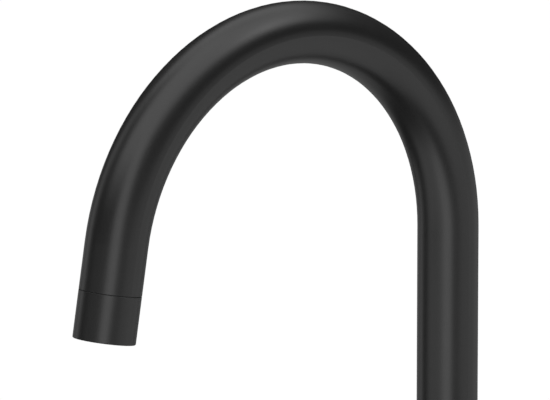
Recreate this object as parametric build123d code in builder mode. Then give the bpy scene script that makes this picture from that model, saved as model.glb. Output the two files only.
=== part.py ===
"""Single-hole kitchen mixer tap with a tall gooseneck spout and a side lever.

Frame: millimetres, +Z up. The origin is the centre of the foot on the deck.
The spout reaches towards -Y and the lever is on the +X side.
"""

import os
from math import asin, atan2, cos, radians, sin, sqrt

from build123d import *

os.makedirs("parts", exist_ok=True)

# ------------------------------------------------------------ dimensions, mm
# gooseneck spout
TUBE_R = 14.0  # outside radius of the tube
TUBE_BORE_R = 12.5
BEND_R = 100.0  # bend radius of the tube's centreline
BEND_SWEEP = 170.0  # degrees of bend
BEND_Z = 290.0  # height of the bend's centre over the deck
END_LEN = 42.7  # straight end after the bend, up to the outlet rim
SLEEVE_LEN = 21.4  # screw-on outlet sleeve, from the seam to the rim
SEAM_BEVEL = 0.22  # edge break on both sides of the seam
RIM_BREAK = 0.3

# body column
BODY_R = 24.0
BODY_Z0 = 6.0
BODY_TOP = 139.0
BODY_TOP_FILLET = 4.0
SOCKET_R = 12.0  # socket for the spout's stem
SOCKET_Z0 = 108.0
STEM_R = 11.95
STEM_BORE_R = 7.5
LOCK_Z = 124.0  # height of the locking screw
SWING = 75.0  # degrees of spout swing to either side

# side housing and cartridge, about a level axis along +X
CART_Z = 85.0
HOUSING_R = 21.0
HOUSING_X = 37.5
CART_BORE_R = 17.6
CART_R = 17.4
NUT_BORE_R = 19.0
NUT_SEAT_X = 25.5
INLET_Y, INLET_UP, INLET_R = 7.0, 5.0, 2.8  # cartridge ports, from the axis
OUTLET_DOWN, OUTLET_R = 8.0, 3.2
CHANNEL_X = -6.0  # inlet channels in the body
OUT_CHANNEL_X = -11.0
PORT_R, PORT_DEPTH = 4.46, 12.0  # M10 x 1 inlet ports, minor radius
PIVOT_X = 27.0  # tilt axis of the lever
BALL_X, BALL_R = 17.5, 2.8
LIFT = 25.0  # degrees of lever tilt
DISC_REST = -2.0  # the shut position of the moving disc

# lever
HUB_R = 21.0
HUB_X0, HUB_X1 = 38.2, 62.0
HUB_HOLLOW_R = 23.0
COVER_R, COVER_T, COVER_OPEN_R = 22.5, 1.3, 13.0  # dome under the hub
ROD_R = 4.5
ROD_X = 53.0
ROD_Z0, ROD_TOP = 97.0, 196.0

# foot and deck fixing
FOOT_R = 27.0
GASKET_T = 1.2
SHANK_R, SHANK_BORE_R = 16.5, 14.0
SHANK_TOP, SHANK_THREAD_Z, SHANK_END = 18.0, -52.0, -60.0
NOSE_R = 15.6
DECK_T = 20.0  # deck thickness the fixing set is drawn at

# ------------------------------------------------------------ reference planes
sweep_a = radians(BEND_SWEEP)
bend_end = Vector(0, -BEND_R + BEND_R * cos(sweep_a), BEND_Z + BEND_R * sin(sweep_a))
out_dir = Vector(0, -sin(sweep_a), cos(sweep_a))
seam = bend_end + out_dir * (END_LEN - SLEEVE_LEN)
outlet_axis = Axis(tuple(seam), tuple(out_dir))
# profile plane of the outlet: x is the radius, y runs from the seam to the rim
outlet = Plane(
    origin=seam, x_dir=(1, 0, 0), z_dir=Vector(1, 0, 0).cross(out_dir)
)
# profile plane of the cartridge: x runs along its axis, y is the radius
cart = Plane(origin=(0, 0, CART_Z), x_dir=(1, 0, 0), z_dir=(0, -1, 0))
cart_axis = Axis((0, 0, CART_Z), (1, 0, 0))


def across(x):
    """Plane across the cartridge's axis: local x is +Y, local y is +Z."""
    return Plane(origin=(x, 0, CART_Z), x_dir=(0, 1, 0), z_dir=(1, 0, 0))


def along_outlet(w):
    """Plane across the outlet, w past the seam, facing the way the water leaves."""
    return Plane(origin=seam + out_dir * w, x_dir=(1, 0, 0), z_dir=out_dir)


# ================================================================ spout
# bent tube: riser, bend and straight end
TUBE_Z0 = 144.1
with BuildPart() as spout_tube:
    with BuildSketch(Plane.XY.offset(TUBE_Z0)):
        Circle(TUBE_R)
        Circle(TUBE_BORE_R, mode=Mode.SUBTRACT)
    extrude(amount=BEND_Z - TUBE_Z0)
    with BuildSketch(Plane.XY.offset(BEND_Z)):
        Circle(TUBE_R)
        Circle(TUBE_BORE_R, mode=Mode.SUBTRACT)
    revolve(axis=Axis((0, -BEND_R, BEND_Z), (1, 0, 0)), revolution_arc=BEND_SWEEP)
    with BuildSketch(Plane(origin=bend_end, x_dir=(1, 0, 0), z_dir=out_dir)):
        Circle(TUBE_R)
        Circle(TUBE_BORE_R, mode=Mode.SUBTRACT)
    extrude(amount=END_LEN - SLEEVE_LEN)
    seam_edges = (
        spout_tube.edges()
        .filter_by(GeomType.CIRCLE)
        .filter_by(lambda e: (e.arc_center - seam).length < 0.01)
        .filter_by(lambda e: abs(e.radius - TUBE_R) < 0.01)
    )
    chamfer(seam_edges, SEAM_BEVEL)
spout_tube.part.label = "spout_tube"
export_step(spout_tube.part, "parts/spout_tube.step")

# threaded ring soldered into the end of the tube
with BuildPart() as spout_end_ring:
    with BuildSketch(outlet):
        with BuildLine():
            Polyline(
                (8.5, -14), (12.45, -14), (12.45, 0), (10.2, 0), (10.2, -12),
                (8.5, -12), close=True,
            )
        make_face()
    revolve(axis=outlet_axis)
spout_end_ring.part.label = "spout_end_ring"
export_step(spout_end_ring.part, "parts/spout_end_ring.step")

# screw-on sleeve with its threaded spigot and the pocket for the stream former
SPIGOT_R, SLEEVE_BORE_R, POCKET_R, POCKET_W = 10.15, 7.8, 11.9, 8.0
with BuildPart() as outlet_sleeve:
    with BuildSketch(outlet):
        with BuildLine():
            Polyline(
                (SLEEVE_BORE_R, -10),
                (SPIGOT_R - 0.5, -10),
                (SPIGOT_R, -9.5),
                (SPIGOT_R, -3.4),
                (9.2, -3.4),
                (9.2, -1.4),
                (SPIGOT_R, -1.4),
                (SPIGOT_R, 0),
                (TUBE_R - SEAM_BEVEL, 0),
                (TUBE_R, SEAM_BEVEL),
                (TUBE_R, SLEEVE_LEN - RIM_BREAK),
                (TUBE_R - RIM_BREAK, SLEEVE_LEN),
                (POCKET_R + 0.3, SLEEVE_LEN),
                (POCKET_R, SLEEVE_LEN - 0.3),
                (POCKET_R, POCKET_W),
                (SLEEVE_BORE_R, POCKET_W),
                close=True,
            )
        make_face()
    revolve(axis=outlet_axis)
outlet_sleeve.part.label = "outlet_sleeve"
export_step(outlet_sleeve.part, "parts/outlet_sleeve.step")

with BuildPart() as outlet_o_ring:
    with BuildSketch(outlet):
        with Locations((9.7, -2.4)):
            RectangleRounded(0.94, 1.7, 0.45)
    revolve(axis=outlet_axis)
outlet_o_ring.part.label = "outlet_o_ring"
export_step(outlet_o_ring.part, "parts/outlet_o_ring.step")

# stream former: flat seal, cage, flow regulator and honeycomb screen
with BuildPart() as aerator_seal:
    with BuildSketch(outlet):
        with Locations((10.25, 8.7)):
            Rectangle(3.0, 1.4)
    revolve(axis=outlet_axis)
aerator_seal.part.label = "aerator_seal"
export_step(aerator_seal.part, "parts/aerator_seal.step")

with BuildPart() as aerator_housing:
    with BuildSketch(outlet):
        with BuildLine():
            Polyline(
                (8.8, 9.4), (11.85, 9.4), (11.85, 20.1), (11.55, 20.4), (9.5, 20.4),
                (9.5, 19.4), (10.2, 19.4), (10.2, 10.6), (8.8, 10.6), close=True,
            )
        make_face()
    revolve(axis=outlet_axis)
    # notches for the key that unscrews the cage
    with BuildSketch(along_outlet(19.5)):
        with PolarLocations(10.9, 6):
            Rectangle(2.4, 2.2)
    extrude(amount=1.5, mode=Mode.SUBTRACT)
aerator_housing.part.label = "aerator_housing"
export_step(aerator_housing.part, "parts/aerator_housing.step")

with BuildPart() as aerator_regulator:
    with BuildSketch(outlet):
        with BuildLine():
            Polyline(
                (0, 10.6), (10.1, 10.6), (10.1, 13.0), (4.6, 13.0), (3.8, 14.4),
                (0, 14.4), close=True,
            )
        make_face()
    revolve(axis=outlet_axis)
    with BuildSketch(along_outlet(10.0)):
        with PolarLocations(6.9, 12):
            Circle(0.8)
        with PolarLocations(8.7, 16):
            Circle(0.55)
    extrude(amount=4, mode=Mode.SUBTRACT)
aerator_regulator.part.label = "aerator_regulator"
export_step(aerator_regulator.part, "parts/aerator_regulator.step")

CELL, CELL_R, CELL_LIMIT = 2.2, 1.06, 7.95
cells = []
for i in range(-5, 6):
    for j in range(-5, 6):
        cx, cy = CELL * (i + 0.5 * j), CELL * j * sqrt(3) / 2
        if sqrt(cx * cx + cy * cy) <= CELL_LIMIT:
            cells.append((cx, cy))
with BuildPart() as aerator_screen:
    with BuildSketch(along_outlet(16.4)):
        Circle(10.1)
        with Locations(*cells):
            RegularPolygon(CELL_R, 6, rotation=30, mode=Mode.SUBTRACT)
    extrude(amount=3.0)
aerator_screen.part.label = "aerator_screen"
export_step(aerator_screen.part, "parts/aerator_screen.step")

# stem at the foot of the spout, with seal grooves and the swing-limiting groove
GROOVE_HALF = SWING + 12.0
with BuildPart() as spout_connector:
    with BuildSketch(Plane.XZ):
        with BuildLine():
            Polyline(
                (STEM_BORE_R, 109.5),
                (STEM_R - 0.8, 109.5),
                (STEM_R, 110.3),
                (STEM_R, 111.6),
                (10.2, 111.6),
                (10.2, 114.4),
                (STEM_R, 114.4),
                (STEM_R, 116.6),
                (10.2, 116.6),
                (10.2, 119.4),
                (STEM_R, 119.4),
                (STEM_R, 140.1),
                (13.9, 140.1),
                (13.9, TUBE_Z0),
                (12.45, TUBE_Z0),
                (12.45, 165.0),
                (11.45, 166.0),
                (9.5, 166.0),
                (STEM_BORE_R, 162.0),
                close=True,
            )
        make_face()
    revolve(axis=Axis.Z)
    start = radians(90.0 - GROOVE_HALF)
    groove_plane = Plane(
        origin=(0, 0, LOCK_Z),
        x_dir=(cos(start), sin(start), 0),
        z_dir=(sin(start), -cos(start), 0),
    )
    with BuildSketch(groove_plane):
        with Locations((11.1, 0)):
            Rectangle(3.0, 4.0)
    revolve(axis=Axis.Z, revolution_arc=2 * GROOVE_HALF, mode=Mode.SUBTRACT)
spout_connector.part.label = "spout_connector"
export_step(spout_connector.part, "parts/spout_connector.step")

with BuildPart() as spout_o_rings:
    with BuildSketch(Plane.XZ):
        with Locations((11.1, 113.0), (11.1, 118.0)):
            RectangleRounded(1.72, 2.4, 0.8)
    revolve(axis=Axis.Z)
spout_o_rings.part.label = "spout_o_rings"
export_step(spout_o_rings.part, "parts/spout_o_rings.step")

with BuildPart() as spout_collar:
    with BuildSketch(Plane.XZ):
        with BuildLine():
            Polyline(
                (14.04, 140.1), (17.2, 140.1), (17.5, 140.4), (17.5, 149.0),
                (14.04, 149.0), close=True,
            )
        make_face()
    revolve(axis=Axis.Z)
    top_edge = (
        spout_collar.edges()
        .filter_by(GeomType.CIRCLE)
        .filter_by(lambda e: abs(e.radius - 17.5) < 0.01)
        .sort_by(Axis.Z)[-1]
    )
    fillet(top_edge, 2.0)
spout_collar.part.label = "spout_collar"
export_step(spout_collar.part, "parts/spout_collar.step")

with BuildPart() as swivel_washer:
    with BuildSketch(Plane.XY.offset(BODY_TOP)):
        Circle(17.0)
        Circle(12.4, mode=Mode.SUBTRACT)
    extrude(amount=1.0)
swivel_washer.part.label = "swivel_washer"
export_step(swivel_washer.part, "parts/swivel_washer.step")

# dog-point screw from behind
with BuildPart() as spout_lock_screw:
    with BuildSketch(Plane(origin=(0, 9.9, LOCK_Z), x_dir=(1, 0, 0), z_dir=(0, 1, 0))):
        Circle(1.8)
    extrude(amount=2.5)
    with BuildSketch(Plane(origin=(0, 12.3, LOCK_Z), x_dir=(1, 0, 0), z_dir=(0, 1, 0))):
        Circle(2.45)
    extrude(amount=10.2)
    chamfer(spout_lock_screw.edges().filter_by(GeomType.CIRCLE).sort_by(Axis.Y)[-1], 0.35)
    chamfer(spout_lock_screw.edges().filter_by(GeomType.CIRCLE).sort_by(Axis.Y)[0], 0.3)
    with BuildSketch(Plane(origin=(0, 19.5, LOCK_Z), x_dir=(1, 0, 0), z_dir=(0, 1, 0))):
        RegularPolygon(1.45, 6)
    extrude(amount=4, mode=Mode.SUBTRACT)
spout_lock_screw.part.label = "spout_lock_screw"
export_step(spout_lock_screw.part, "parts/spout_lock_screw.step")

# ================================================================ body
with BuildPart() as body:
    with BuildSketch(Plane.XY.offset(BODY_Z0)):
        Circle(BODY_R)
    extrude(amount=BODY_TOP - BODY_Z0)
    with BuildSketch(cart):
        with BuildLine():
            # the rim is bevelled so that it stays inside the lever hub's hollow
            Polyline(
                (0, 0), (0, HOUSING_R), (HOUSING_X - 2.15, HOUSING_R),
                (HOUSING_X, HOUSING_R - 1.0), (HOUSING_X, 0), close=True,
            )
        make_face()
    revolve(axis=cart_axis)
    blend = body.edges().filter_by(
        lambda e: e.geom_type not in (GeomType.CIRCLE, GeomType.LINE)
    )
    fillet(blend, 1.5)
    fillet(body.edges().filter_by(GeomType.CIRCLE).sort_by(Axis.Z)[-1], BODY_TOP_FILLET)
    chamfer(body.edges().filter_by(GeomType.CIRCLE).sort_by(Axis.Z)[0], 0.4)
    # socket for the spout's stem and the water chamber under it
    with BuildSketch(Plane.XY.offset(SOCKET_Z0)):
        Circle(SOCKET_R)
    extrude(amount=BODY_TOP - SOCKET_Z0 + 1, mode=Mode.SUBTRACT)
    with BuildSketch(Plane.XY.offset(105.8)):
        Circle(14.4)
    extrude(amount=3.2, mode=Mode.SUBTRACT)
    # seat for the cartridge and the bore for its nut
    with BuildSketch(across(0)):
        Circle(CART_BORE_R)
    extrude(amount=HOUSING_X + 1, mode=Mode.SUBTRACT)
    with BuildSketch(across(NUT_SEAT_X)):
        Circle(NUT_BORE_R)
    extrude(amount=HOUSING_X, mode=Mode.SUBTRACT)
    with BuildSketch(across(-2.5)):
        with Locations((13.0, -3.0), (-13.0, -3.0)):
            Circle(1.6)
    extrude(amount=3, mode=Mode.SUBTRACT)
    # inlet channels
    with BuildSketch(Plane.XY.offset(SHANK_TOP)):
        with Locations((CHANNEL_X, INLET_Y), (CHANNEL_X, -INLET_Y)):
            Circle(PORT_R)
    extrude(amount=PORT_DEPTH, mode=Mode.SUBTRACT)
    with BuildSketch(Plane.XY.offset(SHANK_TOP)):
        with Locations((CHANNEL_X, INLET_Y), (CHANNEL_X, -INLET_Y)):
            Circle(INLET_R)
    extrude(amount=CART_Z + INLET_UP + INLET_R - SHANK_TOP, mode=Mode.SUBTRACT)
    with BuildSketch(across(CHANNEL_X)):
        with Locations((INLET_Y, INLET_UP), (-INLET_Y, INLET_UP)):
            Circle(INLET_R)
    extrude(amount=-CHANNEL_X + 0.5, mode=Mode.SUBTRACT)
    # mixed water channel up to the spout
    with BuildSketch(across(OUT_CHANNEL_X)):
        with Locations((0, -OUTLET_DOWN)):
            Circle(OUTLET_R)
    extrude(amount=-OUT_CHANNEL_X + 0.5, mode=Mode.SUBTRACT)
    with BuildSketch(Plane.XY.offset(CART_Z - OUTLET_DOWN - OUTLET_R)):
        with Locations((OUT_CHANNEL_X, 0)):
            Circle(OUTLET_R)
    extrude(amount=107 - (CART_Z - OUTLET_DOWN - OUTLET_R), mode=Mode.SUBTRACT)
    # recess for the threaded shank
    with BuildSketch(Plane.XY.offset(BODY_Z0 - 1)):
        Circle(SHANK_R + 0.05)
    extrude(amount=SHANK_TOP - BODY_Z0 + 1, mode=Mode.SUBTRACT)
    # threaded hole for the locking screw
    with BuildSketch(Plane(origin=(0, 11, LOCK_Z), x_dir=(1, 0, 0), z_dir=(0, 1, 0))):
        Circle(2.5)
    extrude(amount=15, mode=Mode.SUBTRACT)
body.part.label = "body"
export_step(body.part, "parts/body.step")

# ================================================================ cartridge
ports = [(INLET_Y, INLET_UP), (-INLET_Y, INLET_UP)]
drain = (0, -OUTLET_DOWN)
with BuildPart() as cartridge_base:
    with BuildSketch(across(0.3)):
        Circle(CART_R)
    extrude(amount=5.7)
    with BuildSketch(across(-2.0)):
        with Locations((13.0, -3.0), (-13.0, -3.0)):
            Circle(1.5)
    extrude(amount=4.0)
    with BuildSketch(across(-1)):
        with Locations(*ports):
            Circle(INLET_R)
        with Locations(drain):
            Circle(OUTLET_R)
    extrude(amount=8, mode=Mode.SUBTRACT)
    with BuildSketch(across(-0.5)):
        with Locations(*ports):
            Circle(4.6)
        with Locations(drain):
            Circle(5.0)
    extrude(amount=2.1, mode=Mode.SUBTRACT)
cartridge_base.part.label = "cartridge_base"
export_step(cartridge_base.part, "parts/cartridge_base.step")

with BuildPart() as cartridge_seals:
    with BuildSketch(across(0)):
        with Locations(*ports):
            Circle(4.55)
            Circle(INLET_R, mode=Mode.SUBTRACT)
        with Locations(drain):
            Circle(4.95)
            Circle(OUTLET_R, mode=Mode.SUBTRACT)
    extrude(amount=1.6)
cartridge_seals.part.label = "cartridge_seals"
export_step(cartridge_seals.part, "parts/cartridge_seals.step")

with BuildPart() as fixed_disc:
    with BuildSketch(across(6.0)):
        Circle(14.0)
        with Locations(*ports):
            Circle(INLET_R, mode=Mode.SUBTRACT)
        with Locations(drain):
            Circle(OUTLET_R, mode=Mode.SUBTRACT)
    extrude(amount=4.0)
fixed_disc.part.label = "fixed_disc"
export_step(fixed_disc.part, "parts/fixed_disc.step")

with BuildPart() as moving_disc:
    with BuildSketch(across(10.02)):
        with Locations((0, DISC_REST)):
            Circle(12.0)
    extrude(amount=3.98)
    # mixing pocket on the sliding face
    with BuildSketch(across(10.0)) as pocket:
        with BuildLine():
            Polyline(
                (-4, -11.5), (4, -11.5), (9.2, -3), (9.2, 1.2), (-9.2, 1.2),
                (-9.2, -3), close=True,
            )
        make_face()
        fillet(pocket.vertices(), 1.0)
    extrude(amount=2.0, mode=Mode.SUBTRACT)
    with BuildSketch(across(12.6)):
        with Locations((6.5, 5.0), (-6.5, 5.0)):
            Circle(1.5)
    extrude(amount=2.0, mode=Mode.SUBTRACT)
moving_disc.part.label = "moving_disc"
export_step(moving_disc.part, "parts/moving_disc.step")

with BuildPart() as disc_carrier:
    with BuildSketch(across(14.0)) as carrier_face:
        with Locations((0, DISC_REST)):
            Circle(12.6)
        Rectangle(19.0, 40.0, mode=Mode.INTERSECT)
    extrude(amount=6.0)
    with BuildSketch(across(12.8)):
        with Locations((6.5, 5.0), (-6.5, 5.0)):
            Circle(1.4)
    extrude(amount=1.7)
    # socket for the spindle's ball, flared towards the spindle
    with BuildSketch(cart):
        with BuildLine():
            Polyline((14.4, 0), (14.4, 3.1), (18.5, 3.1), (20.5, 5.1), (20.5, 0), close=True)
        make_face()
    revolve(axis=cart_axis, mode=Mode.SUBTRACT)
disc_carrier.part.label = "disc_carrier"
export_step(disc_carrier.part, "parts/disc_carrier.step")

# turning head of the cartridge with guide ribs, seal groove and spindle slot
with BuildPart() as turret:
    with BuildSketch(cart):
        with BuildLine():
            Polyline(
                (20.3, 0), (20.3, 15.2), (23.0, 15.2), (23.0, 9.97), (23.9, 9.97),
                (23.9, 8.9), (25.3, 8.9), (25.3, 9.97), (35.4, 9.97), (36.0, 9.37),
                (36.0, 0), close=True,
            )
        make_face()
    revolve(axis=cart_axis)
    with BuildSketch(across(14.6)):
        with Locations((11.2, 0), (-11.2, 0)):
            Rectangle(2.8, 12.0)
    extrude(amount=6.0)
    # slot for the tilting spindle
    with BuildSketch(cart):
        with BuildLine():
            Polyline(
                (19.0, -3.5), (24.0, -3.5), (37.0, -8.4), (37.0, 3.5), (30.0, 3.5),
                (19.0, 7.6), close=True,
            )
        make_face()
    extrude(amount=2.8, both=True, mode=Mode.SUBTRACT)
    with BuildSketch(cart.offset(-9.0)):
        with Locations((PIVOT_X, 0)):
            Circle(1.52)
    extrude(amount=18.0, mode=Mode.SUBTRACT)
turret.part.label = "turret"
export_step(turret.part, "parts/turret.step")

with BuildPart() as turret_seal:
    with BuildSketch(cart):
        with Locations((24.6, 9.45)):
            RectangleRounded(1.3, 1.1, 0.5)
    revolve(axis=cart_axis)
turret_seal.part.label = "turret_seal"
export_step(turret_seal.part, "parts/turret_seal.step")

with BuildPart() as pivot_pin:
    with BuildSketch(cart.offset(-9.0)):
        with Locations((PIVOT_X, 0)):
            Circle(1.5)
    extrude(amount=18.0)
pivot_pin.part.label = "pivot_pin"
export_step(pivot_pin.part, "parts/pivot_pin.step")

with BuildPart() as cartridge_housing:
    with BuildSketch(cart):
        with BuildLine():
            Polyline(
                (6.0, 15.5), (6.0, CART_R), (25.6, CART_R), (26.0, CART_R - 0.4),
                (26.0, 10.02), (23.3, 10.02), (23.3, 15.5), close=True,
            )
        make_face()
    revolve(axis=cart_axis)
cartridge_housing.part.label = "cartridge_housing"
export_step(cartridge_housing.part, "parts/cartridge_housing.step")

with BuildPart() as cartridge_nut:
    with BuildSketch(cart):
        with BuildLine():
            Polyline(
                (26.0, 13.0), (26.0, 18.95), (33.0, 18.95), (33.5, 18.45),
                (33.5, 13.0), close=True,
            )
        make_face()
    revolve(axis=cart_axis)
    with BuildSketch(across(30.5)):
        with PolarLocations(15.9, 6):
            Rectangle(6.5, 4.0)
    extrude(amount=4.0, mode=Mode.SUBTRACT)
cartridge_nut.part.label = "cartridge_nut"
export_step(cartridge_nut.part, "parts/cartridge_nut.step")

# dome screwed into the housing's mouth, over the cartridge's nut and under the lever hub;
# round about the tilt axis, open in the middle for the spindle
cover_in = COVER_R - COVER_T
SKIRT_R = 17.4
a_rim = atan2(sqrt(COVER_R**2 - (HOUSING_X - PIVOT_X) ** 2), HOUSING_X - PIVOT_X)
a_lip = asin(COVER_OPEN_R / COVER_R)
a_lip_in = asin(COVER_OPEN_R / cover_in)
a_skirt = asin(SKIRT_R / cover_in)


def on_dome(r, a):
    return (PIVOT_X + r * cos(a), r * sin(a))


with BuildPart() as cartridge_cover:
    with BuildSketch(cart):
        with BuildLine():
            Polyline(
                on_dome(cover_in, a_skirt), (33.7, SKIRT_R), (33.7, 18.95),
                (HOUSING_X, 18.95), on_dome(COVER_R, a_rim),
            )
            ThreePointArc(
                on_dome(COVER_R, a_rim), on_dome(COVER_R, (a_rim + a_lip) / 2), on_dome(COVER_R, a_lip)
            )
            Line(on_dome(COVER_R, a_lip), on_dome(cover_in, a_lip_in))
            ThreePointArc(
                on_dome(cover_in, a_lip_in), on_dome(cover_in, (a_lip_in + a_skirt) / 2), on_dome(cover_in, a_skirt)
            )
        make_face()
    revolve(axis=cart_axis)
cartridge_cover.part.label = "cartridge_cover"
export_step(cartridge_cover.part, "parts/cartridge_cover.step")

# spindle: ball end with a small flat on its tip, slim neck, flat bar with the pivot bore
NECK_R, TIP_FLAT_R = 1.9, 0.6
neck_x = BALL_X + sqrt(BALL_R**2 - NECK_R**2)
tip_x = BALL_X - sqrt(BALL_R**2 - TIP_FLAT_R**2)
with BuildPart() as spindle:
    with BuildSketch(cart):
        with BuildLine():
            Polyline((tip_x, TIP_FLAT_R), (tip_x, 0), (22.5, 0), (22.5, NECK_R), (neck_x, NECK_R))
            ThreePointArc((neck_x, NECK_R), (BALL_X, BALL_R), (tip_x, TIP_FLAT_R))
        make_face()
    revolve(axis=cart_axis)
    with BuildSketch(across(21.5)):
        Rectangle(5.0, 6.0)
    extrude(amount=37.0)
    with BuildSketch(cart.offset(-5.0)):
        with Locations((PIVOT_X, 0)):
            Circle(1.55)
    extrude(amount=10.0, mode=Mode.SUBTRACT)
spindle.part.label = "spindle"
export_step(spindle.part, "parts/spindle.step")

# ================================================================ lever
edge_r = sqrt(HUB_HOLLOW_R**2 - (HUB_X0 - PIVOT_X) ** 2)
half_a = radians(29.0)
with BuildPart() as lever_hub:
    with BuildSketch(cart):
        with BuildLine():
            ThreePointArc(
                (HUB_X0, edge_r),
                (PIVOT_X + HUB_HOLLOW_R * cos(half_a), HUB_HOLLOW_R * sin(half_a)),
                (PIVOT_X + HUB_HOLLOW_R, 0),
            )
            Polyline(
                (PIVOT_X + HUB_HOLLOW_R, 0),
                (HUB_X1, 0),
                (HUB_X1, HUB_R),
                (HUB_X0 + 0.4, HUB_R),
                (HUB_X0, HUB_R - 0.4),
                (HUB_X0, edge_r),
            )
        make_face()
    revolve(axis=cart_axis)
    outer_edge = (
        lever_hub.edges()
        .filter_by(GeomType.CIRCLE)
        .filter_by(lambda e: abs(e.radius - HUB_R) < 0.01)
        .sort_by(Axis.X)[-1]
    )
    fillet(outer_edge, 2.5)
    with BuildSketch(across(49.0)):
        Rectangle(5.1, 6.1)
    extrude(amount=9.6, mode=Mode.SUBTRACT)
    with BuildSketch(Plane.XY.offset(ROD_Z0)):
        with Locations((ROD_X, 0)):
            Circle(ROD_R + 0.03)
    extrude(amount=12.0, mode=Mode.SUBTRACT)
    with BuildSketch(Plane.XY.offset(63.0)):
        with Locations((54.5, 0)):
            Circle(2.5)
    extrude(amount=20.0, mode=Mode.SUBTRACT)
lever_hub.part.label = "lever_hub"
export_step(lever_hub.part, "parts/lever_hub.step")

with BuildPart() as lever_rod:
    with BuildSketch(Plane.XY.offset(ROD_Z0)):
        with Locations((ROD_X, 0)):
            Circle(ROD_R)
    extrude(amount=ROD_TOP - ROD_Z0)
    fillet(lever_rod.edges().sort_by(Axis.Z)[-1], 1.6)
    chamfer(lever_rod.edges().filter_by(GeomType.CIRCLE).sort_by(Axis.Z)[0], 0.5)
lever_rod.part.label = "lever_rod"
export_step(lever_rod.part, "parts/lever_rod.step")

with BuildPart() as hub_screw:
    with BuildSketch(Plane.XY.offset(70.0)):
        with Locations((54.5, 0)):
            Circle(2.45)
    extrude(amount=12.0)
    with BuildSketch(Plane.XY.offset(69.0)):
        with Locations((54.5, 0)):
            RegularPolygon(1.45, 6)
    extrude(amount=4.0, mode=Mode.SUBTRACT)
hub_screw.part.label = "hub_screw"
export_step(hub_screw.part, "parts/hub_screw.step")

with BuildPart() as hub_screw_plug:
    with BuildSketch(Plane.XY.offset(64.4)):
        with Locations((54.5, 0)):
            Circle(2.46)
    extrude(amount=4.6)
    chamfer(hub_screw_plug.edges().filter_by(GeomType.CIRCLE).sort_by(Axis.Z)[0], 0.3)
hub_screw_plug.part.label = "hub_screw_plug"
export_step(hub_screw_plug.part, "parts/hub_screw_plug.step")

# ================================================================ foot and deck fixing
with BuildPart() as base_gasket:
    with BuildSketch(Plane.XY):
        Circle(FOOT_R - 0.8)
        Circle(18.2, mode=Mode.SUBTRACT)
    extrude(amount=GASKET_T)
base_gasket.part.label = "base_gasket"
export_step(base_gasket.part, "parts/base_gasket.step")

with BuildPart() as base_flange:
    with BuildSketch(Plane.XY.offset(GASKET_T)):
        Circle(FOOT_R)
        Circle(SHANK_R + 0.2, mode=Mode.SUBTRACT)
    extrude(amount=BODY_Z0 - GASKET_T)
    rim = base_flange.edges().filter_by(lambda e: abs(e.radius - FOOT_R) < 0.01 if e.geom_type == GeomType.CIRCLE else False)
    fillet(rim.sort_by(Axis.Z)[-1], 1.5)
    chamfer(rim.sort_by(Axis.Z)[0], 0.3)
base_flange.part.label = "base_flange"
export_step(base_flange.part, "parts/base_flange.step")

with BuildPart() as threaded_shank:
    with BuildSketch(Plane.XZ):
        with BuildLine():
            Polyline(
                (SHANK_BORE_R, SHANK_END),
                (NOSE_R - 0.8, SHANK_END),
                (NOSE_R, SHANK_END + 0.8),
                (NOSE_R, SHANK_THREAD_Z),
                (SHANK_R - 0.5, SHANK_THREAD_Z),
                (SHANK_R, SHANK_THREAD_Z + 0.5),
                (SHANK_R, SHANK_TOP),
                (SHANK_BORE_R, SHANK_TOP),
                close=True,
            )
        make_face()
    revolve(axis=Axis.Z)
threaded_shank.part.label = "threaded_shank"
export_step(threaded_shank.part, "parts/threaded_shank.step")

with BuildPart() as deck_rubber_washer:
    with BuildSketch(Plane.XY.offset(-DECK_T - 3.0)):
        Circle(27.0)
        Circle(17.0, mode=Mode.SUBTRACT)
    extrude(amount=3.0)
    fillet(deck_rubber_washer.edges().filter_by(GeomType.CIRCLE).filter_by(lambda e: e.radius > 20), 0.6)
deck_rubber_washer.part.label = "deck_rubber_washer"
export_step(deck_rubber_washer.part, "parts/deck_rubber_washer.step")

with BuildPart() as deck_steel_washer:
    with BuildSketch(Plane.XY.offset(-DECK_T - 5.0)):
        Circle(27.0)
        Circle(16.9, mode=Mode.SUBTRACT)
    extrude(amount=2.0)
    chamfer(deck_steel_washer.edges().filter_by(GeomType.CIRCLE).sort_by(Axis.Z)[0:2], 0.3)
deck_steel_washer.part.label = "deck_steel_washer"
export_step(deck_steel_washer.part, "parts/deck_steel_washer.step")

# round nut with spanner notches and three jack screws
NUT_Z1 = -DECK_T - 7.0
with BuildPart() as shank_nut:
    with BuildSketch(Plane.XY.offset(NUT_Z1 - 9.0)):
        Circle(27.0)
        Circle(SHANK_R + 0.05, mode=Mode.SUBTRACT)
        with PolarLocations(27.0, 6, start_angle=30):
            Circle(3.0, mode=Mode.SUBTRACT)
        with PolarLocations(21.9, 3):
            Circle(2.5, mode=Mode.SUBTRACT)
    extrude(amount=9.0)
    nut_faces = shank_nut.faces().filter_by(Axis.Z).sort_by(Axis.Z)
    chamfer(nut_faces[0].outer_wire().edges() + nut_faces[-1].outer_wire().edges(), 0.5)
shank_nut.part.label = "shank_nut"
export_step(shank_nut.part, "parts/shank_nut.step")

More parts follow.
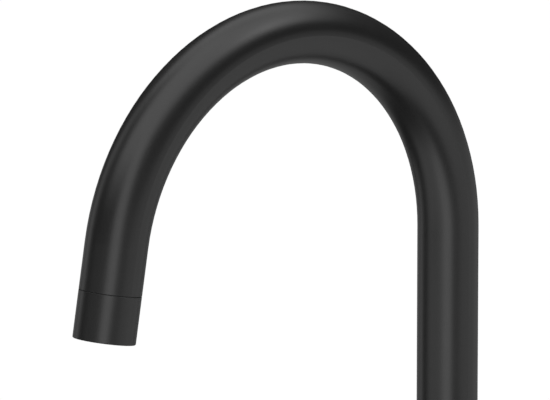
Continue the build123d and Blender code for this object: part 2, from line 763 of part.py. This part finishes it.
with BuildPart() as jack_screws:
    with BuildSketch(Plane.XY.offset(-DECK_T - 5.0)):
        with PolarLocations(21.9, 3):
            Circle(2.45)
    extrude(amount=-18.0)
    with BuildSketch(Plane.XY.offset(-DECK_T - 23.0)):
        with PolarLocations(21.9, 3):
            Circle(4.2)
    extrude(amount=-4.5)
    round_edges = jack_screws.edges().filter_by(GeomType.CIRCLE)
    chamfer(round_edges.filter_by(lambda e: abs(e.radius - 4.2) < 0.01), 0.35)
    chamfer(jack_screws.edges().filter_by(GeomType.CIRCLE).sort_by(Axis.Z)[-3:], 0.6)
    with BuildSketch(Plane.XY.offset(-DECK_T - 27.5)):
        with PolarLocations(21.9, 3):
            RegularPolygon(2.3, 6)
    extrude(amount=2.6, mode=Mode.SUBTRACT)
jack_screws.part.label = "jack_screws"
export_step(jack_screws.part, "parts/jack_screws.step")
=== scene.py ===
import math

import bmesh
import bpy
from mathutils import Matrix, Vector


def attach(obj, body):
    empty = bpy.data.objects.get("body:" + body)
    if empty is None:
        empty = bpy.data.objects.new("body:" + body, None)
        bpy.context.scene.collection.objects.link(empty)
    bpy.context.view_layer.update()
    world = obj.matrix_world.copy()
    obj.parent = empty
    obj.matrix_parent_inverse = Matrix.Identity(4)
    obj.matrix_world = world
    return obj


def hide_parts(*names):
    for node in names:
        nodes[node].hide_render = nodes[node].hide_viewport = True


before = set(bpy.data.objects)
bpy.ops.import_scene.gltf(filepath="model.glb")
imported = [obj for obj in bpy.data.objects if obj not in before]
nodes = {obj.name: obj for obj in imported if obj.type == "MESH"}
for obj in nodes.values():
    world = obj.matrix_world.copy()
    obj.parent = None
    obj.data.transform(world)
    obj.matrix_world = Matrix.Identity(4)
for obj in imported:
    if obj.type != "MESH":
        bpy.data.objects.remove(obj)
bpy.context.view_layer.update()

scene = bpy.context.scene

# ------------------------------------------------------------------ camera
AZ, EL = math.radians(48.258), math.radians(10.787)
back = Vector((math.sin(AZ) * math.cos(EL), -math.cos(AZ) * math.cos(EL), math.sin(EL)))
cam = bpy.data.objects.new("camera", bpy.data.cameras.new("camera"))
scene.collection.objects.link(cam)
cam.location = (2.204181, -2.072507, 0.878199)
cam.rotation_mode = "QUATERNION"
cam.rotation_quaternion = (-back).to_track_quat("-Z", "Y")
cam.data.sensor_width = 36.0
cam.data.lens = 442.0
cam.data.clip_start, cam.data.clip_end = 0.05, 60.0
scene.camera = cam
scene.view_settings.view_transform = "Standard"
scene.view_settings.look = "None"


# ------------------------------------------------------------------ node help
class Net:
    """Short names for making shader nodes."""

    def __init__(self, tree):
        self.tree = tree
        tree.nodes.clear()

    def add(self, kind, **props):
        n = self.tree.nodes.new(kind)
        for k, v in props.items():
            setattr(n, k, v)
        return n

    def put(self, value, socket):
        if isinstance(value, bpy.types.NodeSocket):
            self.tree.links.new(value, socket)
        else:
            socket.default_value = value

    def math(self, op, a, b=None, c=None, clamp=False):
        n = self.add("ShaderNodeMath", operation=op, use_clamp=clamp)
        for i, v in enumerate((a, b, c)):
            if v is not None:
                self.put(v, n.inputs[i])
        return n.outputs[0]

    def vec(self, op, a, b=None, scale=None):
        n = self.add("ShaderNodeVectorMath", operation=op)
        self.put(a, n.inputs[0])
        if b is not None:
            self.put(b, n.inputs[1])
        if scale is not None:
            self.put(scale, n.inputs["Scale"])
        return n.outputs["Value"] if op in ("DOT_PRODUCT", "LENGTH", "DISTANCE") else n.outputs["Vector"]

    def fade(self, x, a, b, lo=0.0, hi=1.0, kind="SMOOTHSTEP"):
        n = self.add("ShaderNodeMapRange", interpolation_type=kind, clamp=True)
        for i, v in enumerate((x, a, b, lo, hi)):
            self.put(v, n.inputs[i])
        return n.outputs[0]

    def noise(self, vector, scale, detail=2.0, rough=0.5, dims="3D", distortion=0.0):
        n = self.add("ShaderNodeTexNoise", noise_dimensions=dims)
        self.put(vector, n.inputs["Vector"])
        n.inputs["Scale"].default_value = scale
        n.inputs["Detail"].default_value = detail
        n.inputs["Roughness"].default_value = rough
        n.inputs["Distortion"].default_value = distortion
        return n.outputs["Fac"]

    def mix(self, fac, a, b):
        n = self.add("ShaderNodeMix", data_type="RGBA", clamp_factor=True)
        self.put(fac, n.inputs["Factor"])
        for v, s in ((a, n.inputs[6]), (b, n.inputs[7])):
            self.put((*v, 1.0) if isinstance(v, tuple) and len(v) == 3 else v, s)
        return n.outputs[2]

    def bump(self, height, strength, distance, normal=None):
        n = self.add("ShaderNodeBump")
        n.inputs["Strength"].default_value = strength
        n.inputs["Distance"].default_value = distance
        self.put(height, n.inputs["Height"])
        if normal is not None:
            self.put(normal, n.inputs["Normal"])
        return n.outputs["Normal"]


# ------------------------------------------------------------------ studio light
# A wide overhead dome with soft panels and dark flags round the set, fitted numerically
# to the photo's shading; the names are labels only. Angles are in degrees, seen from
# the object: longitude 0 points at the camera and grows to its right, latitude is the
# height over the horizon.
DOME = (33.6, 6.5, -102.7, 21.0, 1.71)  # edge, its lean, towards, softness, level
AMBIENT = 0.048
PANELS = {
    # longitude, half width, softness, latitude, half height, softness, level
    "front": (-3.7, 15.9, 13.9, -6.5, 42.8, 16.9, 1.67),
    "left": (-49.3, 32.3, 19.8, -29.4, 29.5, 13.9, 0.90),
    "right": (87.1, 41.0, 15.9, -35.4, 35.8, 11.9, 0.83),
    "rim": (-119.2, 10.3, 15.4, 20.4, 55.5, 17.5, 0.72),
    "lamp": (85.0, 9.4, 35.8, 42.7, 10.6, 9.5, 2.63),
    "cheek": (25.3, 24.0, 19.6, -9.9, 16.4, 36.0, 0.48),
    "under": (-174.1, 25.0, 5.9, -67.5, 29.9, 22.2, 0.10),
    "rear_low": (174.6, 46.9, 13.5, -39.0, 39.4, 11.2, 0.55),
    "rear_high": (-161.2, 15.6, 5.0, 43.1, 24.4, 6.1, 0.26),
    "flag_left": (-128.3, 48.1, 27.0, 35.8, 8.7, 25.9, -1.49),
    "flag_rear": (179.6, 56.6, 36.0, 53.4, 21.8, 5.0, -0.62),
    "flag_low": (133.0, 35.8, 9.6, -34.1, 35.6, 18.6, -0.27),
    "flag_back": (-156.0, 34.7, 5.0, -45.2, 27.1, 19.6, -0.30),
    "flag_top": (-101.7, 18.6, 26.6, 58.9, 15.8, 32.3, -1.70),
    "flag_behind": (-171.1, 31.7, 9.3, -8.1, 11.9, 10.8, -0.24),
}


def studio():
    w = bpy.data.worlds.new("studio")
    scene.world = w
    w.use_nodes = True
    t = Net(w.node_tree)
    d = t.add("ShaderNodeTexCoord").outputs["Generated"]
    d = t.vec("NORMALIZE", d)
    side = t.vec("DOT_PRODUCT", d, (math.cos(AZ), math.sin(AZ), 0.0))
    fore = t.vec("DOT_PRODUCT", d, (math.sin(AZ), -math.cos(AZ), 0.0))
    high = t.vec("DOT_PRODUCT", d, (0.0, 0.0, 1.0))
    lon = t.math("DEGREES", t.math("ARCTAN2", side, fore))
    lat = t.math("DEGREES", t.math("ARCSINE", high))

    def window(x, c, h, s, wrap=False):
        x = t.math("SUBTRACT", x, c)
        if wrap:
            x = t.math("WRAP", x, 180.0, -180.0)
        return t.fade(t.math("ABSOLUTE", x), h - s / 2, h + s / 2, 1.0, 0.0)

    edge, lean, towards, soft, level = DOME
    turn = t.math("COSINE", t.math("RADIANS", t.math("SUBTRACT", lon, towards)))
    over = t.math("MULTIPLY_ADD", turn, lean, t.math("SUBTRACT", lat, edge))
    total = t.math("ADD", t.fade(over, -soft / 2, soft / 2, 0.0, level), AMBIENT)
    for p in PANELS.values():
        patch = t.math("MULTIPLY", window(lon, *p[0:3], wrap=True), window(lat, *p[3:6]))
        total = t.math("MULTIPLY_ADD", patch, p[6], total)
    total = t.math("MAXIMUM", total, 0.0)

    light = t.add("ShaderNodeBackground")
    t.put(total, light.inputs["Strength"])
    paper = t.add("ShaderNodeBackground")
    mix = t.add("ShaderNodeMixShader")
    t.put(t.add("ShaderNodeLightPath").outputs["Is Camera Ray"], mix.inputs[0])
    t.put(light.outputs[0], mix.inputs[1])
    t.put(paper.outputs[0], mix.inputs[2])
    paper.inputs["Color"].default_value = (1, 1, 1, 1)
    paper.inputs["Strength"].default_value = 1.012
    light.inputs["Color"].default_value = (1, 1, 1, 1)
    out = t.add("ShaderNodeOutputWorld")
    t.put(mix.outputs[0], out.inputs["Surface"])


studio()


# ------------------------------------------------------------------ materials
def shader(name):
    m = bpy.data.materials.new(name)
    m.use_nodes = True
    t = Net(m.node_tree)
    b = t.add("ShaderNodeBsdfPrincipled")
    out = t.add("ShaderNodeOutputMaterial")
    t.put(b.outputs[0], out.inputs["Surface"])
    place = t.add("ShaderNodeTexCoord").outputs["Object"]
    return m, t, b, place


def black_coat():
    """Satin matt black coat: fine grain, slight unevenness of gloss."""
    m, t, b, p = shader("black_coat")
    grain = t.noise(p, 2400.0, 3.0, 0.6)
    cloud = t.noise(p, 55.0, 3.0, 0.55)
    speck = t.noise(p, 900.0, 1.0, 0.4)
    t.put(t.mix(t.fade(grain, 0.3, 0.7), (0.0060, 0.0060, 0.0060), (0.0096, 0.0096, 0.0096)), b.inputs["Base Color"])
    r = t.fade(cloud, 0.25, 0.75, 0.318, 0.346, "LINEAR")
    r = t.math("ADD", r, t.fade(speck, 0.3, 0.7, -0.012, 0.012, "LINEAR"))
    t.put(r, b.inputs["Roughness"])
    fine = t.noise(p, 6800.0, 1.0, 0.5)
    n = t.bump(grain, 0.16, 0.00004)
    n = t.bump(fine, 0.28, 0.00001, n)
    t.put(n, b.inputs["Normal"])
    return m


def turned_coordinate(t, p, centre, axis):
    """(distance from the turning axis, place along it): lathe marks follow it."""
    q = t.vec("SUBTRACT", p, centre)
    along = t.vec("DOT_PRODUCT", q, axis)
    r = t.vec("LENGTH", t.vec("SUBTRACT", q, t.vec("SCALE", axis, scale=along)))
    c = t.add("ShaderNodeCombineXYZ")
    t.put(r, c.inputs[0])
    t.put(along, c.inputs[1])
    return c.outputs[0]


def metal(name, dark, light, rough, centre, axis, marks, cloud_scale=60.0):
    """Machined metal: fine lathe marks round its axis, faint tarnish, small handling marks."""
    m, t, b, p = shader(name)
    q = turned_coordinate(t, p, centre, axis)
    line = t.noise(q, marks, 2.0, 0.55, dims="2D")
    fine = t.noise(q, marks * 3.1, 1.0, 0.5, dims="2D")
    cloud = t.noise(p, cloud_scale, 4.0, 0.6)
    spot = t.noise(p, 700.0, 2.0, 0.5)
    f = t.math("MULTIPLY_ADD", line, 0.15, t.math("MULTIPLY", cloud, 0.85))
    t.put(t.mix(t.fade(f, 0.28, 0.72), dark, light), b.inputs["Base Color"])
    b.inputs["Metallic"].default_value = 1.0
    r = t.fade(line, 0.3, 0.7, rough - 0.03, rough + 0.03, "LINEAR")
    r = t.math("ADD", r, t.fade(cloud, 0.3, 0.7, -0.03, 0.04, "LINEAR"))
    r = t.math("ADD", r, t.fade(spot, 0.55, 0.75, 0.0, 0.05))
    t.put(r, b.inputs["Roughness"])
    n = t.bump(line, 0.10, 0.00004)
    n = t.bump(fine, 0.06, 0.00002, n)
    t.put(n, b.inputs["Normal"])
    return m


def rubber():
    """Moulded black rubber: dull, with a dusty bloom and fine pores."""
    m, t, b, p = shader("rubber")
    pore = t.noise(p, 1700.0, 3.0, 0.6)
    bloom = t.noise(p, 120.0, 4.0, 0.6)
    t.put(t.mix(t.fade(bloom, 0.35, 0.75), (0.013, 0.013, 0.014), (0.030, 0.030, 0.031)), b.inputs["Base Color"])
    t.put(t.fade(bloom, 0.3, 0.7, 0.62, 0.80, "LINEAR"), b.inputs["Roughness"])
    b.inputs["Specular IOR Level"].default_value = 0.4
    t.put(t.bump(pore, 0.30, 0.00006), b.inputs["Normal"])
    return m


def plastic(name, dark, light, rough, grain=1300.0, bump=0.12):
    """Moulded plastic: faint flow clouds and a fine eroded grain."""
    m, t, b, p = shader(name)
    flow = t.noise(p, 70.0, 3.0, 0.55, distortion=0.6)
    g = t.noise(p, grain, 2.0, 0.55)
    t.put(t.mix(t.fade(flow, 0.3, 0.7), dark, light), b.inputs["Base Color"])
    t.put(t.fade(g, 0.3, 0.7, rough - 0.05, rough + 0.06, "LINEAR"), b.inputs["Roughness"])
    t.put(t.bump(g, bump, 0.00004), b.inputs["Normal"])
    return m


def ceramic():
    """Lapped alumina: off-white, very smooth, with fine lapping scratches."""
    m, t, b, p = shader("ceramic")
    flow = t.noise(p, 60.0, 3.0, 0.5)
    lap = t.noise(t.vec("MULTIPLY", p, (1.0, 9.0, 1.6)), 900.0, 2.0, 0.6)
    t.put(t.mix(flow, (0.78, 0.77, 0.73), (0.86, 0.85, 0.82)), b.inputs["Base Color"])
    t.put(t.fade(lap, 0.35, 0.65, 0.12, 0.22, "LINEAR"), b.inputs["Roughness"])
    t.put(t.bump(lap, 0.05, 0.00002), b.inputs["Normal"])
    return m


UP, OUT = (0.0, 0.0, 1.0), (1.0, 0.0, 0.0)
BRASS = ((0.66, 0.47, 0.22), (0.79, 0.59, 0.31))
STEEL = ((0.52, 0.52, 0.51), (0.64, 0.64, 0.63))
BEND = math.radians(170.0)
outlet_axis = (0.0, -math.sin(BEND), math.cos(BEND))
# centre of the seam, in millimetres: 100 mm bend round (-100, 290), then 21.3 mm straight
OUTLET = (0.0, -100.0 + 100.0 * math.cos(BEND) + 21.3 * outlet_axis[1], 290.0 + 100.0 * math.sin(BEND) + 21.3 * outlet_axis[2])
coat = black_coat()
brass_up = metal("brass_turned", *BRASS, 0.30, (0, 0, 0), UP, 2600.0)
brass_cart = metal("brass_cartridge", *BRASS, 0.30, (0, 0, 0.085), OUT, 2600.0)
brass_outlet = metal("brass_outlet", *BRASS, 0.30, (0, -0.20217, 0.2864), outlet_axis, 2600.0)
steel_up = metal("steel_turned", *STEEL, 0.32, (0, 0, 0), UP, 2200.0)
steel_screw = metal("steel_screw", *STEEL, 0.34, (0.0545, 0, 0.07), UP, 2600.0)
steel_lock = metal("steel_lock", *STEEL, 0.34, (0, 0, 0.124), (0.0, 1.0, 0.0), 2600.0)
steel_pin = metal("steel_pin", *STEEL, 0.26, (0.027, 0, 0.085), (0.0, 1.0, 0.0), 2600.0)
seal = rubber()
white = plastic("white_plastic", (0.74, 0.735, 0.70), (0.84, 0.835, 0.81), 0.42)
grey = plastic("grey_plastic", (0.20, 0.205, 0.21), (0.27, 0.275, 0.28), 0.44)
black = plastic("black_plastic", (0.011, 0.011, 0.0115), (0.018, 0.018, 0.0185), 0.48)
disc = ceramic()

DRESS = {
    coat: "spout_tube spout_collar body lever_hub lever_rod base_flange",
    brass_up: "spout_connector shank_nut",
    brass_cart: "spindle",
    brass_outlet: "spout_end_ring",
    steel_up: "deck_steel_washer",
    seal: "outlet_o_ring aerator_seal spout_o_rings cartridge_seals turret_seal base_gasket deck_rubber_washer",
    white: "aerator_regulator cartridge_base disc_carrier turret cartridge_housing",
    grey: "aerator_screen",
    disc: "fixed_disc moving_disc",
    black: "hub_screw_plug swivel_washer",
}
for material, names in DRESS.items():
    for name in names.split():
        mesh = nodes[name].data
        mesh.materials.clear()
        mesh.materials.append(material)


# ------------------------------------------------------------------ threads
class Shell:
    """Rings of points about an axis, joined into one closed skin. Takes millimetres."""

    CREST, ROOT = (0.0625, 0.9375), (0.375, 0.625)  # corners of the thread's profile, in pitches

    def __init__(self, segments, centre=(0.0, 0.0, 0.0), axis=UP):
        turn = Vector(UP).rotation_difference(Vector(axis)).to_matrix().to_4x4()
        self.place = Matrix.Scale(0.001, 4) @ Matrix.Translation(centre) @ turn
        self.n = segments
        self.points, self.index, self.faces, self.last = [], {}, [], None

    def point(self, r, i, z):
        key = (round(r, 6), i % self.n, round(z, 6))
        if key not in self.index:
            a = 2.0 * math.pi * key[1] / self.n
            self.index[key] = len(self.points)
            self.points.append(self.place @ Vector((r * math.cos(a), r * math.sin(a), z)))
        return self.index[key]

    def face(self, *ids):
        f = [v for k, v in enumerate(ids) if v != ids[k - 1]]
        if len(set(f)) > 2:
            self.faces.append(f)

    def join(self, ids):
        if self.last:
            for i in range(self.n):
                j = (i + 1) % self.n
                self.face(self.last[i], self.last[j], ids[j], ids[i])
        self.last = ids

    def ring(self, r, z):
        self.join([self.point(r(2.0 * math.pi * i / self.n) if callable(r) else r, i, z) for i in range(self.n)])

    def rings(self, *profile):
        for r, z in profile:
            self.ring(r, z)

    def tip(self, z):
        self.points.append(self.place @ Vector((0.0, 0.0, z)))
        for i in range(self.n):
            self.face(self.last[i], self.last[(i + 1) % self.n], len(self.points) - 1)

    def thread(self, major, pitch, depth, z0, z1, limit):
        """A right-hand thread from z0 to z1. limit(z, r) shapes its two ends."""
        corners = [(self.CREST[0], 0.0), (self.ROOT[0], depth), (self.ROOT[1], depth), (self.CREST[1], 0.0)]
        rows = 4 * (int((z1 - z0) / pitch) + 2)

        def at(k, i):
            if i == self.n:
                k, i = k + 4, 0
            k = min(k, rows)
            f, d = corners[k % 4]
            z = z0 + pitch * (k // 4 - 1 + f - self.CREST[1] + i / self.n)
            z = min(max(z, z0), z1)
            return self.point(limit(z, major - d), i, z)

        self.join([at(0, i) for i in range(self.n)])
        for k in range(rows):
            for i in range(self.n):
                self.face(at(k, i), at(k, i + 1), at(k + 1, i + 1), at(k + 1, i))
        self.last = [at(rows, i) for i in range(self.n)]


def notched(o, shell, count, near, far, width, z0, z1):
    """Takes count box-shaped notches out of a piece: radii near to far, from z0 to z1 on the shell's axis."""
    bm = bmesh.new()
    for k in range(count):
        spin = Matrix.Rotation(2.0 * math.pi * k / count, 4, "Z")
        at = Matrix.Translation(((near + far) / 2, 0.0, (z0 + z1) / 2))
        bmesh.ops.create_cube(bm, matrix=shell.place @ spin @ at @ Matrix.Diagonal((far - near, width, z1 - z0, 1.0)))
    me = bpy.data.meshes.new("notches")
    bm.to_mesh(me)
    bm.free()
    tool = bpy.data.objects.new("notches", me)
    scene.collection.objects.link(tool)
    m = o.modifiers.new("notches", "BOOLEAN")
    m.operation, m.solver, m.object = "DIFFERENCE", "EXACT", tool
    done = bpy.data.meshes.new_from_object(o.evaluated_get(bpy.context.evaluated_depsgraph_get()))
    o.modifiers.clear()
    done.name = o.data.name
    o.data = done
    bpy.data.objects.remove(tool)
    done.shade_smooth()
    done.set_sharp_from_angle(angle=math.radians(25.0))


def piece(name, shells, material, body, node, sharp=25.0):
    bm = bmesh.new()
    for s in shells:
        vs = [bm.verts.new(p) for p in s.points]
        for f in s.faces:
            bm.faces.new([vs[k] for k in f])
    bmesh.ops.delete(bm, geom=[v for v in bm.verts if not v.link_faces], context="VERTS")
    bmesh.ops.recalc_face_normals(bm, faces=bm.faces)
    me = bpy.data.meshes.new(name)
    bm.to_mesh(me)
    bm.free()
    me.materials.append(material)
    me.shade_smooth()
    me.set_sharp_from_angle(angle=math.radians(sharp))
    o = bpy.data.objects.new(name, me)
    scene.collection.objects.link(o)
    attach(o, body)
    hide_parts(node)
    return o


def ramp(x, a, b):
    return min(1.0, max(0.0, (x - a) / (b - a)))


def hexagon(r):
    """Radius of a hexagon with corners at r, by angle."""
    flat = r * math.cos(math.radians(30.0))
    return lambda a: flat / math.cos((a % (math.pi / 3.0)) - math.pi / 6.0)


def shank():
    """M33 x 1.5 shank: plain nose, thread with a bevelled start and a run-out under the foot."""
    major, pitch, depth, nose, bore = 16.5, 1.5, 0.88, 15.6, 14.0
    z0, z1 = -52.0, 1.0

    def limit(z, r):
        run_out = ramp(z, z1 - 2.0, z1)
        return min(r + (major - r) * run_out, nose + (z - z0) * 0.8)

    t = Shell(96)
    t.rings((bore, 17.6), (bore, -59.6), (bore + 0.4, -60.0), (nose - 0.8, -60.0), (nose, -59.2), (nose, z0))
    t.thread(major, pitch, depth, z0, z1, limit)
    t.rings((major, z1), (major, 17.6), (major - 0.4, 18.0), (bore + 0.4, 18.0), (bore, 17.6))
    piece("threaded_shank_cut", [t], brass_up, "mixer_body", "threaded_shank")


def jack_screws():
    """Three M5 socket screws with knurled heads."""
    major, pitch, depth = 2.45, 0.8, 0.46
    socket = hexagon(2.3)
    z0, z1 = -43.0, -25.0

    def knurl(a):
        return 4.2 - 0.12 * (0.5 - 0.5 * math.cos(a * 24.0))

    def limit(z, r):
        r = min(r + (major - r) * (1.0 - ramp(z, z0, z0 + 1.2)), 1.85 + (z1 - z) * 0.9)
        return r

    screws = []
    for k in range(3):
        turn = 2.0 * math.pi * k / 3.0
        t = Shell(48, (21.9 * math.cos(turn), 21.9 * math.sin(turn), 0.0))
        t.ring(0.7, -44.6)
        t.tip(-44.45)
        t.rings(
            (socket, -44.9), (socket, -47.2), (2.62, -47.5), (3.85, -47.5), (knurl, -47.15), (knurl, -43.35),
            (3.85, z0), (major, z0),
        )
        t.thread(major, pitch, depth, z0, z1, limit)
        t.ring(0.8, z1)
        t.tip(z1)
        screws.append(t)
    piece("jack_screws_cut", screws, steel_up, "mixer_body", "jack_screws")


def outlet_sleeve():
    """Sleeve at the end of the spout, with the thread on its spigot."""
    major, pitch, depth = 10.15, 1.0, 0.58
    z0, z1 = -10.0, -4.2

    def limit(z, r):
        return min(r + (major - r) * ramp(z, z1 - 0.9, z1), 9.45 + (z - z0))

    t = Shell(144, OUTLET, outlet_axis)
    t.rings((7.8, 8.0), (7.8, z0), (9.45, z0))
    t.thread(major, pitch, depth, z0, z1, limit)
    t.rings(
        (major, -3.4), (9.2, -3.4), (9.2, -1.4), (major, -1.4), (major, 0.0), (13.78, 0.0), (14.0, 0.22),
        (14.0, 21.1), (13.7, 21.4), (12.2, 21.4), (11.9, 21.1), (11.9, 8.0), (7.8, 8.0),
    )
    piece("outlet_sleeve_cut", [t], coat, "spout", "outlet_sleeve")


def aerator_housing():
    """Threaded cage of the stream former, with six notches for its key."""
    major, pitch, depth = 11.85, 1.0, 0.58
    z0, z1 = 9.4, 18.6

    def limit(z, r):
        return min(r + (major - r) * ramp(z, z1 - 0.9, z1), 11.2 + (z - z0))

    t = Shell(96, OUTLET, outlet_axis)
    t.rings((8.8, 10.6), (8.8, z0), (11.2, z0))
    t.thread(major, pitch, depth, z0, z1, limit)
    t.rings((major, 20.1), (11.55, 20.4), (9.5, 20.4), (9.5, 19.4), (10.2, 19.4), (10.2, 10.6), (8.8, 10.6))
    o = piece("aerator_housing_cut", [t], grey, "spout", "aerator_housing")
    notched(o, t, 6, 9.7, 12.3, 2.2, 19.5, 21.0)


def cartridge_nut():
    """Ring nut over the cartridge, with six slots for its spanner."""
    major, pitch, depth = 18.95, 1.0, 0.58
    z0, z1 = 26.0, 33.5

    def limit(z, r):
        return min(r, 18.3 + (z - z0), 18.3 + (z1 - z))

    t = Shell(120, (0.0, 0.0, 85.0), OUT)
    t.rings((13.0, 33.2), (13.0, 26.3), (13.3, z0), (18.3, z0))
    t.thread(major, pitch, depth, z0, z1, limit)
    t.rings((13.3, z1), (13.0, 33.2))
    o = piece("cartridge_nut_cut", [t], brass_cart, "mixer_body", "cartridge_nut")
    notched(o, t, 6, 12.0, 20.0, 4.0, 30.5, 35.0)


def cartridge_cover():
    """Dome over the cartridge, round about the tilt axis, with a threaded skirt."""
    tilt, outer, inner, lip, skirt, rim = 27.0, 22.5, 21.2, 13.0, 17.4, 37.5
    major, pitch, depth = 18.95, 1.0, 0.58
    z0, z1 = 33.7, rim

    def limit(z, r):
        return min(r + (major - r) * ramp(z, z1 - 0.8, z1), 18.3 + (z - z0))

    def dome(r, a, b, steps):
        for k in range(steps + 1):
            c = a + (b - a) * k / steps
            t.ring(r * math.sin(c), tilt + r * math.cos(c))

    a_skirt = math.asin(skirt / inner)
    t = Shell(120, (0.0, 0.0, 85.0), OUT)
    t.rings((inner * math.sin(a_skirt), tilt + inner * math.cos(a_skirt)), (skirt, z0), (18.3, z0))
    t.thread(major, pitch, depth, z0, z1, limit)
    dome(outer, math.acos((rim - tilt) / outer), math.asin((lip + 0.25) / outer), 18)
    t.ring(lip, tilt + math.sqrt(outer**2 - lip**2) - 0.2)
    dome(inner, math.asin(lip / inner), a_skirt, 12)
    piece("cartridge_cover_cut", [t], coat, "mixer_body", "cartridge_cover")


def spout_lock_screw():
    """M5 socket screw with a dog point, which runs in the stem's groove."""
    major, pitch, depth = 2.45, 0.8, 0.46
    socket = hexagon(1.45)
    z0, z1 = 12.3, 22.5

    def limit(z, r):
        return min(r, 1.9 + (z - z0), 1.95 + (z1 - z))

    t = Shell(48, (0.0, 0.0, 124.0), (0.0, 1.0, 0.0))
    t.ring(1.5, 9.9)
    t.tip(9.9)
    t.rings((1.8, 10.2), (1.8, z0), (1.9, z0))
    t.thread(major, pitch, depth, z0, z1, limit)
    t.rings((1.6, z1), (socket, z1 - 0.15), (socket, 19.5), (0.6, 19.35))
    t.tip(19.25)
    piece("spout_lock_screw_cut", [t], steel_lock, "mixer_body", "spout_lock_screw")


def hub_screw():
    """M5 grub screw that holds the lever's hub on the spindle."""
    major, pitch, depth = 2.45, 0.8, 0.46
    socket = hexagon(1.45)
    z0, z1 = 70.0, 82.0

    def limit(z, r):
        return min(r, 1.95 + (z - z0), 1.7 + (z1 - z))

    t = Shell(48, (54.5, 0.0, 0.0))
    t.ring(0.6, 73.15)
    t.tip(73.25)
    t.rings((socket, 73.0), (socket, z0 + 0.15), (1.6, z0), (1.95, z0))
    t.thread(major, pitch, depth, z0, z1, limit)
    t.ring(1.5, z1)
    t.tip(z1)
    piece("hub_screw_cut", [t], steel_screw, "lever", "hub_screw")


def pivot_pin():
    """Ground pin with broken edges."""
    t = Shell(48, (27.0, 0.0, 85.0), (0.0, 1.0, 0.0))
    t.ring(1.15, -9.0)
    t.tip(-9.0)
    t.rings((1.4, -8.85), (1.5, -8.5), (1.5, 8.5), (1.4, 8.85), (1.15, 9.0))
    t.tip(9.0)
    piece("pivot_pin_cut", [t], steel_pin, "lever_turret", "pivot_pin")


shank()
jack_screws()
outlet_sleeve()
aerator_housing()
cartridge_nut()
cartridge_cover()
spout_lock_screw()
hub_screw()
pivot_pin()


# ------------------------------------------------------------------ floor
def floor():
    z, rad = -0.0605, 1.05
    bm = bmesh.new()
    bmesh.ops.create_circle(bm, cap_ends=True, segments=128, radius=rad, matrix=Matrix.Translation((0, 0, z)))
    me = bpy.data.meshes.new("floor")
    bm.to_mesh(me)
    bm.free()
    o = bpy.data.objects.new("floor", me)
    scene.collection.objects.link(o)
    m = bpy.data.materials.new("floor")
    m.use_nodes = True
    t = Net(m.node_tree)
    p = t.add("ShaderNodeTexCoord").outputs["Object"]
    tone = t.noise(p, 30.0, 3.0, 0.5)
    d = t.add("ShaderNodeBsdfDiffuse")
    t.put(t.mix(tone, (0.715, 0.715, 0.713), (0.730, 0.730, 0.728)), d.inputs["Color"])
    clear = t.add("ShaderNodeBsdfTransparent")
    away = t.fade(t.vec("LENGTH", t.vec("MULTIPLY", p, (1.0, 1.0, 0.0))), 0.35, rad * 0.98)
    under = t.add("ShaderNodeNewGeometry").outputs["Backfacing"]
    mix = t.add("ShaderNodeMixShader")
    t.put(t.math("MAXIMUM", away, under), mix.inputs[0])
    t.put(d.outputs[0], mix.inputs[1])
    t.put(clear.outputs[0], mix.inputs[2])
    out = t.add("ShaderNodeOutputMaterial")
    t.put(mix.outputs[0], out.inputs["Surface"])
    me.materials.append(m)
    o.visible_diffuse = o.visible_glossy = o.visible_transmission = o.visible_shadow = False


floor()
